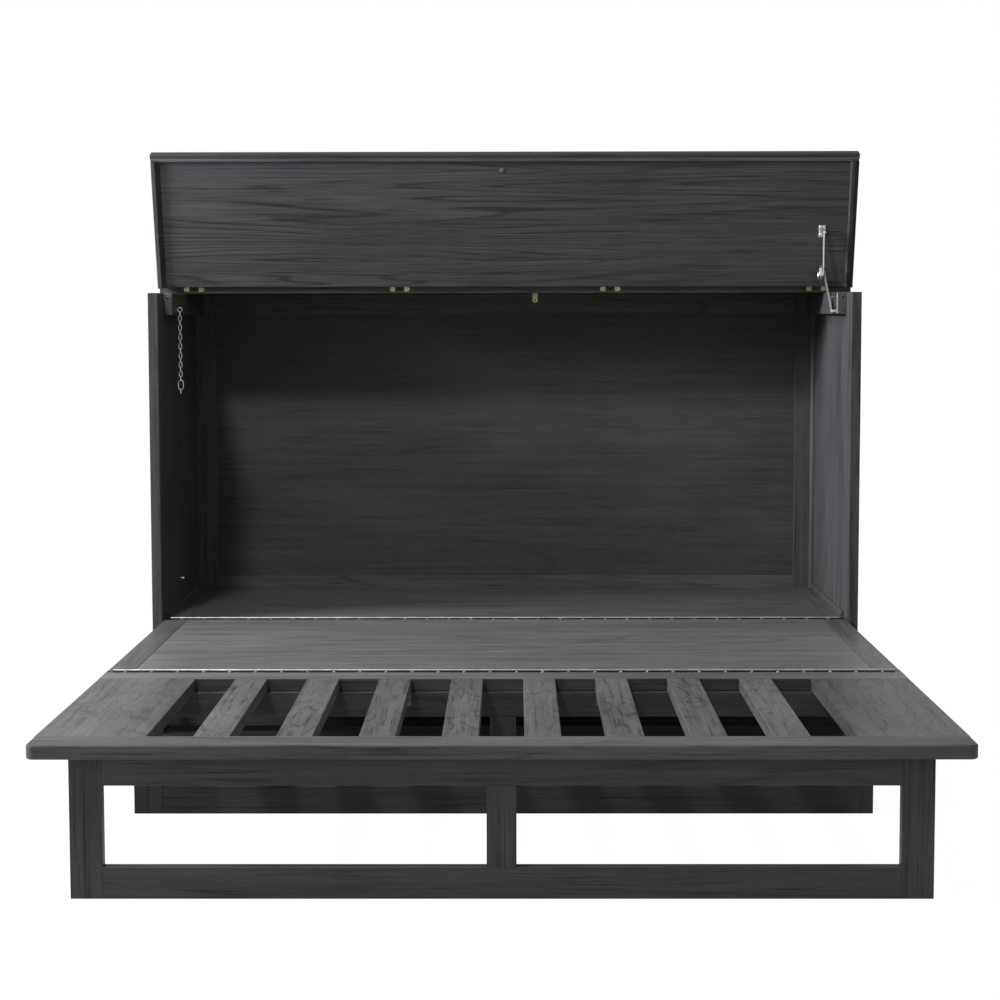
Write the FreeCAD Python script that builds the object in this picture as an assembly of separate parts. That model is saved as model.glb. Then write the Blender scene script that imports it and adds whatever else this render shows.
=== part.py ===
import FreeCAD, Part
import math
import os

# A cabinet bed, unfolded. The chest holds the deck and the folding stay, its lid stands open,
# and two panels reach out in front of it, the outer one slatted, on two frame legs.
# Millimetres. X runs to the right, Y from the front to the back, Z up. While the pieces are
# built, Y is 0 at the chest's front edges. Each piece is then moved back so that the origin
# is on the floor, below the middle of the whole bed.

V = FreeCAD.Vector
X_AXIS = V(1, 0, 0)
Y_AXIS = V(0, 1, 0)
Z_AXIS = V(0, 0, 1)

# ---- the lying surface ----
mattress_length = 2032.0
platform_width = 1549.0
deck_top = 260.0
board_thickness = 24.0
front_panel_length = 734.0
folded_end_clearance = 1.0

# ---- the chest ----
side_thickness = 23.0
panel_side_clearance = 3.0
front_reveal = 1.0
back_frame_thickness = 18.0
back_field_thickness = 8.0
back_field_setback = 5.0
back_stile_width = 50.0
back_top_rail_height = 50.0
back_rail_above_deck = 30.0
side_ease = 1.5
apron_thickness = 22.0
apron_floor_gap = 12.0
apron_setback = 2.0
cleat_thickness = 20.0
cleat_height = 50.0
cleat_front = 76.0
floor_bead_width = 8.0
floor_bead_height = 12.0
floor_bead_front = 60.0
corner_bead_width = 11.0

# ---- the two-part top ----
top_thickness = 20.0
top_overhang = 20.0
lid_length = 320.0
lid_underside_gap = 1.0
lid_joint_gap = 0.5
lid_open_angle = 74.0
lip_clearance = 1.5
lip_drop = 12.0
lip_chamfer = 9.0
edge_round = 2.5
bumper_radius = 6.0
bumper_thickness = 2.5
bumper_x = -5.0
bumper_forward = 6.0

# ---- panels ----
panel_stile_width = 52.0
groove_ease = 1.0
edge_ease = 0.8
front_edge_ease = 2.0
slat_rear_rail_width = 83.0
slat_front_rail_width = 76.0
slat_count = 8
slat_width = 60.7
slot_width = 76.8
corner_radius = 15.0

# ---- leg frames ----
leg_side_inset = 66.5
leg_thickness = 22.0
leg_stile_width = 54.0
leg_mid_stile_width = 49.0
leg_bottom_rail_height = 53.0
leg_top_rail_height = 47.0
leg_top_gap = 0.5
front_leg_setback = 23.0
middle_leg_setback = 96.0

# ---- long strip hinges ----
hinge_axis_height = 2.0
hinge_board_gap = 1.0
knuckle_radius = 3.0
knuckle_length = 50.8
knuckle_gap = 0.4
strip_pin_radius = 1.2
strip_leaf_thickness = 1.2
strip_leaf_width = 14.0
leaf_inner_edge = 3.3
leaf_edge_clearance = 0.2
pin_clearance = 0.06

# ---- leg hinges ----
leg_hinge_length = 60.0
leg_knuckle_radius = 2.5
leg_hinge_offset = 2.6
leg_leaf_thickness = 1.2
leg_leaf_width = 24.0
leg_leaf_inner_edge = 3.0
leg_pin_radius = 1.3

# ---- lid hinges ----
lid_hinge_outer_inset = 38.5
lid_hinge_inner_x = 250.0
lid_hinge_length = 48.0
lid_hinge_height = 11.0
lid_hinge_depth = 14.0
lid_hinge_centre_depth = 10.0
lid_hinge_plate = 2.0
lid_hinge_body_length = 26.0
lid_hinge_top_skin = 1.0
arm_inner_radius = 7.5
arm_outer_radius = 11.5
arm_width = 8.0
arm_clearance = 0.3
arm_root_angle = 12.0
arm_tip_angle = 80.0
cup_end_angle = 83.0

# ---- folding stay of the lid ----
stay_lid_reach = 134.0
stay_lid_drop = 13.5
stay_cabinet_reach = 184.0
stay_cabinet_drop = 43.5
stay_elbow_reach = 64.6
stay_elbow_rise = 43.6
stay_bar_width = 12.0
stay_bar_thickness = 2.0
stay_cleat_gap = 12.7
stay_plane_gap = 0.8
stay_pin_radius = 2.5
stay_pin_clearance = 0.05
stay_head_radius = 4.5
stay_head_thickness = 1.2
stay_plate_thickness = 2.0
stay_plate_forward = 39.0
stay_plate_back = 42.0
stay_plate_below = 4.5
stay_plate_top_gap = 1.0
stay_lid_plate_length = 28.0
stay_lid_plate_width = 16.0
stay_ear_gap = 1.2
disc_radius = 20.0
disc_thickness = 7.0
disc_ease = 1.0
disc_hub_radius = 7.0
disc_hub_length = 2.8

# ---- small fittings ----
screw_head_radius = 3.5
screw_head_height = 1.2
wall_pin_radius = 3.5
wall_pin_length = 8.0
wall_pin_y = 290.0
wall_pin_rise = 62.0
catch_x = 72.0
catch_width = 12.0
catch_drop = 22.0
catch_foot = 16.0
catch_thickness = 2.0
catch_setback = 2.0
catch_hole_radius = 2.0

# ---- safety chain ----
eye_y = 150.0
eye_drop = 38.0
eye_ring_radius = 5.0
eye_wire_radius = 1.1
eye_shank_radius = 1.5
eye_stand_off = 6.5
link_count = 15
link_wire_radius = 1.0
link_inner_length = 11.0
link_inner_width = 4.5
link_play = 0.15
snap_wire_radius = 1.25
snap_inner_length = 19.0
snap_inner_width = 9.0

# ---- sizes that follow from those above ----
half_platform = platform_width / 2
half_inside = half_platform + panel_side_clearance
half_outside = half_inside + side_thickness
hinge_y = board_thickness + hinge_axis_height + front_reveal
hinge_z = deck_top + hinge_axis_height
slat_panel_length = front_panel_length - folded_end_clearance
fold_y = hinge_y - front_panel_length
front_y = fold_y - slat_panel_length
deck_depth = mattress_length - front_panel_length - slat_panel_length
back_wall_y = hinge_y + deck_depth
back_y = back_wall_y + back_frame_thickness
origin_y = (front_y + back_y) / 2
deck_bottom = deck_top - board_thickness
folded_panel_top = hinge_z + front_panel_length + knuckle_radius
body_top = folded_panel_top + bumper_thickness + 0.5 - lid_underside_gap
top_z = body_top + top_thickness
lid_hinge_y = lid_length - top_overhang
lid_underside = body_top + lid_underside_gap
half_top = half_outside + top_overhang
lip_inner = half_outside + lip_clearance
deck_front = hinge_y + hinge_board_gap
rebate_end = strip_leaf_width + leaf_edge_clearance
leg_top = deck_bottom - leg_top_gap
slot_half_span = (slat_count * slat_width + (slat_count + 1) * slot_width) / 2
slat_pitch = slat_width + slot_width
cleat_inner = half_inside - cleat_thickness
stay_upper_x = cleat_inner - stay_cleat_gap
lower_bar_x = stay_upper_x + stay_bar_thickness + stay_plane_gap
lid_hinge_outer_x = half_inside - lid_hinge_outer_inset
lid_hinge_x = (-lid_hinge_outer_x, -lid_hinge_inner_x, lid_hinge_inner_x, lid_hinge_outer_x)
leg_half = half_platform - leg_side_inset
eye_z = body_top - eye_drop
wall_pin_z = deck_top + wall_pin_rise


def box(x0, x1, y0, y1, z0, z1):
    """A plain box between two corners."""
    return Part.makeBox(x1 - x0, y1 - y0, z1 - z0, V(x0, y0, z0))


def runs_along(edge, axis):
    """True for an edge that is parallel to the axis."""
    start, end = edge.Vertexes[0].Point, edge.Vertexes[-1].Point
    along = (end - start).normalize()
    return abs(along.dot(axis)) > 0.999


def board(x0, x1, y0, y1, z0, z1, ease, axis=None):
    """A board whose long edges, or all edges where no axis is given, are eased."""
    plain = box(x0, x1, y0, y1, z0, z1)
    edges = [e for e in plain.Edges if axis is None or runs_along(e, axis)]
    return plain.makeChamfer(ease, edges)


def x_cylinder(radius, x0, x1, y, z):
    """A cylinder that lies along X."""
    return Part.makeCylinder(radius, x1 - x0, V(x0, y, z), X_AXIS)


def prism_x(points, x0, x1):
    """A prism along X over (y, z) corner points."""
    corners = [V(x0, y, z) for y, z in points]
    face = Part.Face(Part.makePolygon(corners + corners[:1]))
    return face.extrude(V(x1 - x0, 0, 0))


def prism_y(points, y0, y1):
    """A prism along Y over (x, z) corner points."""
    corners = [V(x, y0, z) for x, z in points]
    face = Part.Face(Part.makePolygon(corners + corners[:1]))
    return face.extrude(V(0, y1 - y0, 0))


def mirrored(shape):
    """The same shape on the other side of the bed's middle plane."""
    return shape.mirror(V(0, 0, 0), X_AXIS)


def lid_opened(shape):
    """A lid piece, built closed, turned up to where the open lid stands."""
    opened = shape.copy()
    opened.rotate(V(0, lid_hinge_y, top_z), X_AXIS, -lid_open_angle)
    return opened


def open_lid_point(y, z):
    """Where a (y, z) point of the closed lid is when the lid is open."""
    turn = math.radians(lid_open_angle)
    dy, dz = y - lid_hinge_y, z - top_z
    return (lid_hinge_y + dy * math.cos(turn) + dz * math.sin(turn),
            top_z - dy * math.sin(turn) + dz * math.cos(turn))


def save(name, shape):
    """Move a piece into the bed's own frame and write its STEP file."""
    placed = shape.copy()
    placed.translate(V(0, -origin_y, 0))
    placed.exportStep(os.path.join("parts", name + ".step"))


def save_group(name, shapes):
    """Write several separate solids as one node."""
    save(name, Part.makeCompound(shapes))


os.makedirs("parts", exist_ok=True)

# ---- chest: side panels, back, deck and aprons ----


def side_panel():
    """The right side panel, from the floor to the underside of the top."""
    return board(half_inside, half_outside, 0, back_y, 0, body_top, side_ease)


save("side_panel_right", side_panel())
save("side_panel_left", mirrored(side_panel()))

back_rail_top = deck_top + back_rail_above_deck
back_field_half = half_inside - back_stile_width
back_field_top = body_top - back_top_rail_height
back_field_y = back_wall_y + back_field_setback

back_stile = board(back_field_half, half_inside, back_wall_y, back_y, deck_bottom, body_top, edge_ease)
save("back_stile_right", back_stile)
save("back_stile_left", mirrored(back_stile))
save("back_bottom_rail", board(-back_field_half, back_field_half, back_wall_y, back_y,
                               deck_bottom, back_rail_top, edge_ease, X_AXIS))
save("back_top_rail", board(-back_field_half, back_field_half, back_wall_y, back_y,
                            back_field_top, body_top, edge_ease, X_AXIS))
save("back_field", box(-back_field_half, back_field_half, back_field_y,
                       back_field_y + back_field_thickness, back_rail_top, back_field_top))

deck_field_half = half_platform - panel_stile_width


def hinge_rebate(axis_y, side):
    """The shallow step that one leaf of a strip hinge lies in, on the side +1 or -1 of its axis."""
    near, far = sorted((axis_y, axis_y + side * rebate_end))
    return box(-half_platform, half_platform, near, far, deck_top - strip_leaf_thickness, deck_top + 1)


deck_rebate = hinge_rebate(hinge_y, 1)
deck_field = board(-deck_field_half, deck_field_half, deck_front, back_wall_y,
                   deck_bottom, deck_top, groove_ease, Y_AXIS)
save("deck_field", deck_field.cut(deck_rebate))
deck_stile = board(deck_field_half, half_inside, deck_front, back_wall_y,
                   deck_bottom, deck_top, groove_ease, Y_AXIS).cut(deck_rebate)
save_group("deck_stiles", [deck_stile, mirrored(deck_stile)])

apron_front = deck_front + apron_setback
save("base_front_apron", board(-half_inside, half_inside, apron_front, apron_front + apron_thickness,
                               apron_floor_gap, deck_bottom, edge_ease, X_AXIS))
save("base_back_apron", board(-half_inside, half_inside, back_wall_y - apron_thickness, back_wall_y,
                              apron_floor_gap, deck_bottom, edge_ease, X_AXIS))

# ---- chest: cleats and beads inside it ----

cleat = board(cleat_inner, half_inside, cleat_front, back_wall_y, body_top - cleat_height, body_top,
              edge_ease)
save("top_cleat_right", cleat)
save("top_cleat_left", mirrored(cleat))


def quarter_bead(width, depth, length):
    """A bead with a chamfered nose in the corner of two faces, along Z from the origin."""
    nose = min(width, depth) / 2
    points = [V(0, 0, 0), V(width, 0, 0), V(width, depth - nose, 0), V(width - nose, depth, 0),
              V(0, depth, 0)]
    face = Part.Face(Part.makePolygon(points + points[:1]))
    return face.extrude(V(0, 0, length))


bead_back = back_wall_y - corner_bead_width
floor_bead = prism_y([(half_inside, deck_top), (half_inside, deck_top + floor_bead_height),
                      (half_inside - floor_bead_width / 2, deck_top + floor_bead_height),
                      (half_inside - floor_bead_width, deck_top + floor_bead_height / 2),
                      (half_inside - floor_bead_width, deck_top)], floor_bead_front, bead_back)
corner_bead = quarter_bead(corner_bead_width, corner_bead_width, body_top - cleat_height - deck_top)
corner_bead.rotate(V(0, 0, 0), Z_AXIS, 180)
corner_bead.translate(V(half_inside, back_wall_y, deck_top))
save_group("inner_beads", [floor_bead, mirrored(floor_bead), corner_bead, mirrored(corner_bead)])

# ---- top: the fixed rear part ----


def edge_profile(outer, inner, underside):
    """(across, z) corners of the top's edge: eased outside, with a chamfered lip below."""
    side = 1 if outer > inner else -1
    lip = body_top - lip_drop
    return [(outer, lip + edge_round), (outer, top_z - edge_round), (outer - side * edge_round, top_z),
            (inner, top_z), (inner, underside), (inner, lip + lip_chamfer),
            (inner + side * lip_chamfer, lip), (outer - side * edge_round, lip)]


def hinge_cup_body(toward):
    """One lid hinge's cup round the joint, before its slot, with Y and Z measured from the pivot.

    It is a plate with round ends on the board's end face, and a deeper box behind it."""
    half_height = lid_hinge_height / 2
    middle = -lid_hinge_centre_depth
    straight = lid_hinge_length / 2 - half_height
    near = toward * lid_joint_gap
    plate = box(-straight, straight, 0, lid_hinge_plate, middle - half_height, middle + half_height)
    for x in (-straight, straight):
        plate = plate.fuse(Part.makeCylinder(half_height, lid_hinge_plate, V(x, 0, middle), Y_AXIS))
    body = box(-lid_hinge_body_length / 2, lid_hinge_body_length / 2, 0, lid_hinge_depth,
               middle - half_height, -lid_hinge_top_skin)
    cup = plate.fuse(body).removeSplitter()
    if toward < 0:
        cup = cup.mirror(V(0, 0, 0), Y_AXIS)
    cup.translate(V(0, near, 0))
    return cup


def arc_sector(inner, outer, width, start, end):
    """A ring's sector about the pivot along X; angles run from straight down towards +Y."""
    a, b = math.radians(start), math.radians(end)
    middle = (a + b) / 2

    def at(radius, angle):
        return V(-width / 2, radius * math.sin(angle), -radius * math.cos(angle))

    edges = [Part.Arc(at(outer, a), at(outer, middle), at(outer, b)).toShape(),
             Part.makeLine(at(outer, b), at(inner, b)),
             Part.Arc(at(inner, b), at(inner, middle), at(inner, a)).toShape(),
             Part.makeLine(at(inner, a), at(outer, a))]
    return Part.Face(Part.Wire(edges)).extrude(V(width, 0, 0))


def at_lid_hinges(shape):
    """Copies of one lid hinge piece, placed at every lid hinge on the closed joint."""
    placed = []
    for x in lid_hinge_x:
        copy = shape.copy()
        copy.translate(V(x, lid_hinge_y, top_z))
        placed.append(copy)
    return placed


fixed_cup = hinge_cup_body(1)
fixed_cup_slot = arc_sector(arm_inner_radius - arm_clearance, arm_outer_radius + arm_clearance,
                            arm_width + 2 * arm_clearance, -arm_root_angle, cup_end_angle)
rear_top = board(-lip_inner, lip_inner, lid_hinge_y + lid_joint_gap, back_y, body_top, top_z,
                 edge_ease, X_AXIS)
for pocket in at_lid_hinges(fixed_cup):
    rear_top = rear_top.cut(pocket)
save("rear_top_board", rear_top)
rear_edge = prism_y(edge_profile(half_top, lip_inner, body_top), lid_hinge_y + lid_joint_gap, back_y)
save_group("rear_top_edges", [rear_edge, mirrored(rear_edge)])
save_group("lid_hinge_cups", at_lid_hinges(fixed_cup.cut(fixed_cup_slot)))

# ---- top: the lid, built closed and turned open ----

moving_cup = hinge_cup_body(-1)
lid_board = board(-lip_inner, lip_inner, -lip_clearance, lid_hinge_y - lid_joint_gap,
                  lid_underside, top_z, edge_ease, X_AXIS)
for pocket in at_lid_hinges(moving_cup):
    lid_board = lid_board.cut(pocket)
save("lid_board", lid_opened(lid_board))

front_edge = prism_x(edge_profile(-top_overhang, -lip_clearance, lid_underside), -half_top, half_top)
save("lid_front_edge", lid_opened(front_edge))
side_edge = prism_y(edge_profile(half_top, lip_inner, lid_underside), -lip_clearance,
                    lid_hinge_y - lid_joint_gap)
save("lid_right_edge", lid_opened(side_edge))
save("lid_left_edge", lid_opened(mirrored(side_edge)))

arm = arc_sector(arm_inner_radius, arm_outer_radius, arm_width, -arm_root_angle, arm_tip_angle)
hinge_arm = moving_cup.fuse(arm).removeSplitter()
save_group("lid_hinge_arms", [lid_opened(a) for a in at_lid_hinges(hinge_arm)])

bumper = Part.makeCylinder(bumper_radius, bumper_thickness,
                           V(bumper_x, hinge_y - bumper_forward, lid_underside - bumper_thickness))
save("lid_bumper", lid_opened(bumper))

# ---- lid stay ----

elbow = (lid_hinge_y - stay_elbow_reach, body_top + stay_elbow_rise)
cabinet_pivot = (lid_hinge_y - stay_cabinet_reach, body_top - stay_cabinet_drop)
lid_pivot_closed = (lid_hinge_y - stay_lid_reach, lid_underside - stay_lid_drop)
lid_pivot = open_lid_point(*lid_pivot_closed)
bar_radius = stay_bar_width / 2
pin_hole_radius = stay_pin_radius + stay_pin_clearance


def stay_bar(x, start, end):
    """A flat bar with round ends between two (y, z) pivots, at and above the plane x."""
    reach = math.hypot(end[0] - start[0], end[1] - start[1])
    bar = box(x, x + stay_bar_thickness, 0, reach, -bar_radius, bar_radius)
    for y in (0, reach):
        bar = bar.fuse(x_cylinder(bar_radius, x, x + stay_bar_thickness, y, 0))
    angle = math.degrees(math.atan2(end[1] - start[1], end[0] - start[0]))
    bar.rotate(V(0, 0, 0), X_AXIS, angle)
    bar.translate(V(0, start[0], start[1]))
    return bar.removeSplitter()


def drilled(bar, radius, pivot):
    """A bar with a pin hole right through it along X."""
    return bar.cut(x_cylinder(radius, 0, half_outside, pivot[0], pivot[1]))


upper_bar = stay_bar(stay_upper_x, lid_pivot, elbow)
upper_bar = drilled(upper_bar, pin_hole_radius, lid_pivot)
save("stay_upper_arm", drilled(upper_bar, stay_pin_radius, elbow))
lower_bar = stay_bar(lower_bar_x, cabinet_pivot, elbow)
save("stay_lower_arm", drilled(lower_bar, pin_hole_radius, cabinet_pivot))

hub_x = stay_upper_x - disc_hub_length
disc = x_cylinder(disc_radius, hub_x - disc_thickness, hub_x, *elbow)
disc = disc.makeChamfer(disc_ease, [e for e in disc.Edges if isinstance(e.Curve, Part.Circle)])
disc = disc.fuse(x_cylinder(disc_hub_radius, hub_x, stay_upper_x, *elbow))
disc = disc.fuse(x_cylinder(stay_pin_radius, stay_upper_x, stay_upper_x + stay_bar_thickness, *elbow))
save("stay_brake_disc", disc.removeSplitter())

plate_x = cleat_inner - stay_plate_thickness
stay_plate_front = cabinet_pivot[0] - stay_plate_forward
stay_plate_end = cabinet_pivot[0] + stay_plate_back
stay_plate_bottom = cabinet_pivot[1] - stay_plate_below
pin_head_x = lower_bar_x - 0.3
cabinet_bracket = box(plate_x, cleat_inner, stay_plate_front, stay_plate_end, stay_plate_bottom,
                      body_top - stay_plate_top_gap)
spacer_x = lower_bar_x + stay_bar_thickness + 0.3
cabinet_bracket = cabinet_bracket.fuse(x_cylinder(stay_head_radius, spacer_x, plate_x, *cabinet_pivot))
cabinet_bracket = cabinet_bracket.fuse(x_cylinder(stay_pin_radius, pin_head_x, spacer_x, *cabinet_pivot))
cabinet_bracket = cabinet_bracket.fuse(
    x_cylinder(stay_head_radius, pin_head_x - stay_head_thickness, pin_head_x, *cabinet_pivot))
save("stay_cabinet_bracket", cabinet_bracket.removeSplitter())

ear_x = stay_upper_x + stay_bar_thickness + stay_ear_gap
ear_y, ear_z = lid_pivot_closed
lid_plate_right = ear_x + stay_plate_thickness + 1.0
lid_plate = box(lid_plate_right - stay_lid_plate_width, lid_plate_right, ear_y - stay_lid_plate_length / 2,
                ear_y + stay_lid_plate_length / 2, lid_underside - stay_plate_thickness, lid_underside)
ear = box(ear_x, ear_x + stay_plate_thickness, ear_y - bar_radius, ear_y + bar_radius, ear_z, lid_underside)
ear = ear.fuse(x_cylinder(bar_radius, ear_x, ear_x + stay_plate_thickness, ear_y, ear_z))
lid_pin_end = stay_upper_x - 0.3
lid_bracket = lid_plate.fuse(ear)
lid_bracket = lid_bracket.fuse(x_cylinder(stay_pin_radius, lid_pin_end, ear_x, ear_y, ear_z))
lid_bracket = lid_bracket.fuse(
    x_cylinder(stay_head_radius, lid_pin_end - stay_head_thickness, lid_pin_end, ear_y, ear_z))
lid_screw_x = lid_plate_right - stay_lid_plate_width + screw_head_radius + 1.0
lid_bracket_pieces = [lid_bracket.removeSplitter()]
for y in (ear_y - stay_lid_plate_length / 3, ear_y + stay_lid_plate_length / 3):
    head_z = lid_underside - stay_plate_thickness - screw_head_height
    lid_bracket_pieces.append(Part.makeCone(screw_head_radius * 0.6, screw_head_radius,
                                            screw_head_height, V(lid_screw_x, y, head_z)))
save_group("stay_lid_bracket", [lid_opened(p) for p in lid_bracket_pieces])

# ---- small fittings in the chest ----


def side_screw(y, z, face_x):
    """A domed screw head on a face that looks towards the middle of the bed."""
    return Part.makeCone(screw_head_radius, screw_head_radius * 0.6, screw_head_height,
                         V(face_x, y, z), -X_AXIS)


def front_screw(x, z):
    """A domed screw head on the front end of a cleat."""
    return Part.makeCone(screw_head_radius, screw_head_radius * 0.6, screw_head_height,
                         V(x, cleat_front, z), -Y_AXIS)


plate_screw_top = body_top - 3 * screw_head_radius
plate_screw_inset = 2 * screw_head_radius
cleat_screw_x = cleat_inner + cleat_thickness / 2
fittings = [side_screw(stay_plate_front + plate_screw_inset, plate_screw_top, plate_x),
            side_screw(stay_plate_end - plate_screw_inset, plate_screw_top, plate_x),
            side_screw(stay_plate_end - plate_screw_inset, stay_plate_bottom + plate_screw_inset, plate_x),
            front_screw(cleat_screw_x, plate_screw_top),
            front_screw(-cleat_screw_x, plate_screw_top),
            x_cylinder(wall_pin_radius, -half_inside, -half_inside + wall_pin_length, wall_pin_y, wall_pin_z)]
save_group("cabinet_screws", fittings)

catch_y = lid_hinge_y + lid_joint_gap + catch_setback
catch = box(catch_x - catch_width / 2, catch_x + catch_width / 2, catch_y, catch_y + catch_thickness,
            body_top - catch_drop, body_top)
catch_side = [e for e in catch.Edges if runs_along(e, Y_AXIS) and e.CenterOfMass.z < body_top - 1]
catch = catch.makeFillet(catch_width / 3, catch_side)
catch = catch.fuse(box(catch_x - catch_width / 2, catch_x + catch_width / 2, catch_y,
                       catch_y + catch_foot, body_top - catch_thickness, body_top))
catch_hole = Part.makeCylinder(catch_hole_radius, catch_foot,
                               V(catch_x, catch_y - 1, body_top - catch_drop + catch_width / 2), Y_AXIS)
save("lid_catch", catch.removeSplitter().cut(catch_hole))

# ---- strip hinges ----

knuckle_count = int(platform_width / knuckle_length)
first_knuckle_x = -knuckle_count * knuckle_length / 2
strip_hole_radius = strip_pin_radius + pin_clearance


def strip_leaf(side, first):
    """One leaf of a strip hinge about the origin's X axis, on the side +1 or -1 of it.

    The leaf lies level with the boards and carries every other knuckle, starting with first."""
    low, high = -hinge_axis_height - strip_leaf_thickness, -hinge_axis_height
    near, far = sorted((side * leaf_inner_edge, side * strip_leaf_width))
    pieces = []
    for i in range(first, knuckle_count, 2):
        x0 = first_knuckle_x + i * knuckle_length + knuckle_gap / 2
        x1 = x0 + knuckle_length - knuckle_gap
        web_near, web_far = sorted((side * knuckle_radius / 3, side * leaf_inner_edge))
        pieces.append(x_cylinder(knuckle_radius, x0, x1, 0, 0))
        pieces.append(box(x0, x1, web_near, web_far, low, high))
    leaf = box(-half_platform, half_platform, near, far, low, high).multiFuse(pieces)
    bore = x_cylinder(strip_hole_radius, -half_platform, half_platform, 0, 0)
    return leaf.cut(bore).removeSplitter()


def strip_pin():
    """The long pin of a strip hinge about the origin's X axis."""
    return x_cylinder(strip_pin_radius, first_knuckle_x, -first_knuckle_x, 0, 0)


def on_axis(shape, y):
    """A strip hinge piece moved to a hinge line."""
    placed = shape.copy()
    placed.translate(V(0, y, hinge_z))
    return placed


rear_leaf = strip_leaf(1, 0)
front_leaf = strip_leaf(-1, 1)
save("deck_hinge_leaf", on_axis(rear_leaf, hinge_y))
save("deck_hinge_pin", on_axis(strip_pin(), hinge_y))
save("front_panel_hinge_leaf", on_axis(front_leaf, hinge_y))
save("fold_hinge_leaf", on_axis(rear_leaf, fold_y))
save("fold_hinge_pin", on_axis(strip_pin(), fold_y))
save("slat_panel_hinge_leaf", on_axis(front_leaf, fold_y))

# ---- front panel ----

panel_rebates = hinge_rebate(hinge_y, -1).fuse(hinge_rebate(fold_y, 1))
front_panel_back = hinge_y - hinge_board_gap
front_panel_front = fold_y + hinge_board_gap
front_field = board(-deck_field_half, deck_field_half, front_panel_front, front_panel_back,
                    deck_bottom, deck_top, groove_ease, Y_AXIS)
save("front_panel_field", front_field.cut(panel_rebates))
front_stile = board(deck_field_half, half_platform, front_panel_front, front_panel_back,
                    deck_bottom, deck_top, groove_ease, Y_AXIS).cut(panel_rebates)
save("front_panel_stile_right", front_stile)
save("front_panel_stile_left", mirrored(front_stile))

# ---- slatted panel ----

slat_back = fold_y - hinge_board_gap
slot_back = slat_back - slat_rear_rail_width
slot_front = front_y + slat_front_rail_width
rear_rail = board(-half_platform, half_platform, slot_back, slat_back, deck_bottom, deck_top,
                  edge_ease, X_AXIS)
save("slat_panel_rear_rail", rear_rail.cut(hinge_rebate(fold_y, -1)))


def rounded_front_rail():
    """The front rail, with its two front corners rounded in plan."""
    rail = box(-half_platform, half_platform, front_y, slot_front, deck_bottom, deck_top)
    corners = [e for e in rail.Edges if runs_along(e, Z_AXIS) and e.CenterOfMass.y < slot_front - 1]
    rail = rail.makeFillet(corner_radius, corners)
    nose = [e for e in rail.Edges if abs(e.BoundBox.ZLength) < 0.01 and e.BoundBox.YMin < slot_front - 1]
    return rail.makeChamfer(front_edge_ease, nose)


save("slat_panel_front_rail", rounded_front_rail())
side_board = board(slot_half_span, half_platform, slot_front, slot_back, deck_bottom, deck_top,
                   edge_ease, Y_AXIS)
save("slat_panel_side_right", side_board)
save("slat_panel_side_left", mirrored(side_board))

slats = []
for i in range(slat_count):
    left = -slot_half_span + slot_width + i * slat_pitch
    slats.append(board(left, left + slat_width, slot_front, slot_back, deck_bottom, deck_top,
                       edge_ease, Y_AXIS))
save_group("slats", slats)

# ---- leg frames ----

front_leg_y = front_y + front_leg_setback
middle_leg_y = fold_y - middle_leg_setback
leg_rail_half = leg_half - leg_stile_width
leg_mid_half = leg_mid_stile_width / 2
leg_window_top = leg_top - leg_top_rail_height


def save_leg_frame(name, y):
    """A leg frame of two rails, two stiles and a middle stile, with its front face at y."""
    back = y + leg_thickness
    stile = board(leg_rail_half, leg_half, y, back, 0, leg_top, edge_ease)
    save(name + "_stile_right", stile)
    save(name + "_stile_left", mirrored(stile))
    save(name + "_bottom_rail", board(-leg_rail_half, leg_rail_half, y, back, 0,
                                      leg_bottom_rail_height, edge_ease, X_AXIS))
    save(name + "_top_rail", board(-leg_rail_half, leg_rail_half, y, back, leg_window_top, leg_top,
                                   edge_ease, X_AXIS))
    save(name + "_middle_stile", board(-leg_mid_half, leg_mid_half, y, back, leg_bottom_rail_height,
                                       leg_window_top, edge_ease, Z_AXIS))


save_leg_frame("front_leg", front_leg_y)
save_leg_frame("middle_leg", middle_leg_y)

# ---- leg hinges ----

leg_hinge_x = (-(half_platform + slot_half_span) / 2, -1.5 * slat_pitch,
               1.5 * slat_pitch, (half_platform + slot_half_span) / 2)
leg_axis_z = deck_bottom - leg_hinge_offset
front_leg_axis_y = front_leg_y + leg_thickness + leg_hinge_offset
middle_leg_axis_y = middle_leg_y - leg_hinge_offset
leg_knuckle = leg_hinge_length / 3
leg_hole_radius = leg_pin_radius + pin_clearance


def leg_fixed_leaf():
    """The leaf under the platform, about the origin's X axis and reaching to +Y, with two knuckles."""
    half = leg_hinge_length / 2
    low, high = leg_hinge_offset - leg_leaf_thickness, leg_hinge_offset
    leaf = box(-half, half, leg_leaf_inner_edge, leg_leaf_width, low, high)
    for x0 in (-half, half - leg_knuckle):
        leaf = leaf.fuse(x_cylinder(leg_knuckle_radius, x0, x0 + leg_knuckle, 0, 0))
        leaf = leaf.fuse(box(x0, x0 + leg_knuckle, leg_knuckle_radius / 5, leg_leaf_inner_edge, low, high))
    return leaf.cut(x_cylinder(leg_hole_radius, -half, half, 0, 0)).removeSplitter()


def leg_moving_leaf():
    """The leaf on the leg, about the origin's X axis and reaching down, with the middle knuckle."""
    half = leg_hinge_length / 2
    near, far = -leg_hinge_offset, -leg_hinge_offset + leg_leaf_thickness
    knuckle_half = leg_knuckle / 2 - knuckle_gap
    leaf = box(-half, half, near, far, -leg_leaf_width, -leg_leaf_inner_edge)
    leaf = leaf.fuse(x_cylinder(leg_knuckle_radius, -knuckle_half, knuckle_half, 0, 0))
    leaf = leaf.fuse(box(-knuckle_half, knuckle_half, near, far, -leg_leaf_inner_edge,
                         -leg_knuckle_radius / 5))
    return leaf.cut(x_cylinder(leg_hole_radius, -half, half, 0, 0)).removeSplitter()


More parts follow.
